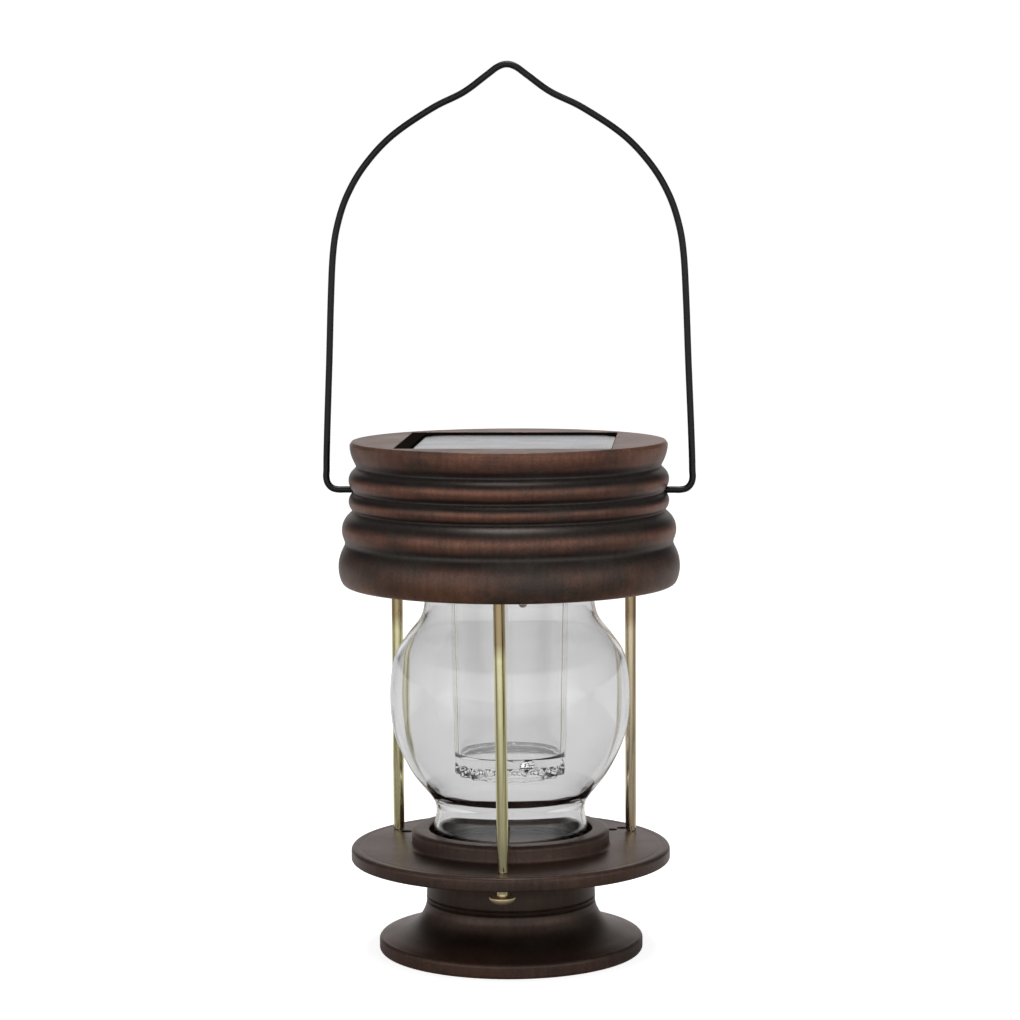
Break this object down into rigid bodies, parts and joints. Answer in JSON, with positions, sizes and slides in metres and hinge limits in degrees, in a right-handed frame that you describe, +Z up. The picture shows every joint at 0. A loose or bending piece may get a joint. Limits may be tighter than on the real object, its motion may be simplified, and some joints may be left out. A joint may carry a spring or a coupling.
{
  "type": "solar lantern",
  "caption": "Hanging solar lantern: ribbed round cap with a solar panel, glass globe in a rod cage, turned base and a swinging wire bail.",
  "frame": {"origin": "under the middle of the foot, at the height of the surface it stands on", "axes": "+Z up; -Y is the front, where one of the three rods stands; the bail swings about X"},
  "size_m": [0.12, 0.1098, 0.2858],
  "materials": {
    "copper_paint": "antique copper paint on moulded plastic, satin, faintly brushed",
    "base_paint": "dark bronze paint on moulded plastic, satin",
    "brass": "bright rolled brass",
    "steel": "zinc-plated steel",
    "globe_glass": "clear blown glass",
    "clear_acrylic": "clear moulded acrylic",
    "gasket_rubber": "black foam rubber",
    "solar_cell": "dark blue cell under a clear glossy face",
    "led_epoxy": "tinted clear epoxy",
    "white_plastic": "plain white moulded plastic",
    "black_plastic": "black moulded plastic",
    "board_green": "green solder resist",
    "copper_winding": "enamelled copper wire",
    "battery_wrap": "shrink-wrapped cell",
    "red_lead": "red wire insulation",
    "black_lead": "black wire insulation",
    "black_wire": "black painted steel wire, satin"
  },
  "bodies": {
    "lantern": {"cap_shell": "copper_paint", "cap_bottom_cover": "copper_paint", "foot_shell": "base_paint", "gallery_plate": "base_paint", "rod_front": "brass", "rod_right": "brass", "rod_left": "brass", "rod_bottom_screw_front": "brass", "rod_bottom_screw_right": "brass", "rod_bottom_screw_left": "brass", "rod_top_screw_front": "steel", "rod_top_screw_right": "steel", "rod_top_screw_left": "steel", "foot_screw_front": "steel", "foot_screw_right": "steel", "foot_screw_left": "steel", "cover_screw_rear": "steel", "cover_screw_front_left": "steel", "cover_screw_front_right": "steel", "holder_screw_left": "steel", "holder_screw_right": "steel", "board_screw_left": "steel", "board_screw_right": "steel", "battery_contact": "steel", "battery_spring": "steel", "glass_globe": "globe_glass", "light_tube": "clear_acrylic", "globe_foot_gasket": "gasket_rubber", "globe_top_gasket": "gasket_rubber", "panel_gasket": "gasket_rubber", "solar_panel": "solar_cell", "led": "led_epoxy", "led_holder": "white_plastic", "circuit_board": "board_green", "driver_chip": "black_plastic", "inductor": "copper_winding", "battery_cradle": "black_plastic", "battery": "battery_wrap", "switch_body": "black_plastic", "panel_lead_plus": "red_lead", "panel_lead_minus": "black_lead", "battery_lead_plus": "red_lead", "battery_lead_minus": "black_lead", "switch_lead_left": "black_lead", "switch_lead_right": "black_lead"},
    "bail": {"bail_handle": "black_wire"},
    "button": {"switch_button": "white_plastic"}
  },
  "joints": [
    {"name": "bail_swing", "type": "hinge", "parent": "lantern", "child": "bail", "pos_m": [0, 0, 0.1496], "axis": [1, 0, 0], "range_deg": [-154, 154]},
    {"name": "switch_press", "type": "slide", "parent": "lantern", "child": "button", "axis": [0, 0, 1], "range_m": [0, 0.0012], "stiffness_N_per_m": 400}
  ]
}
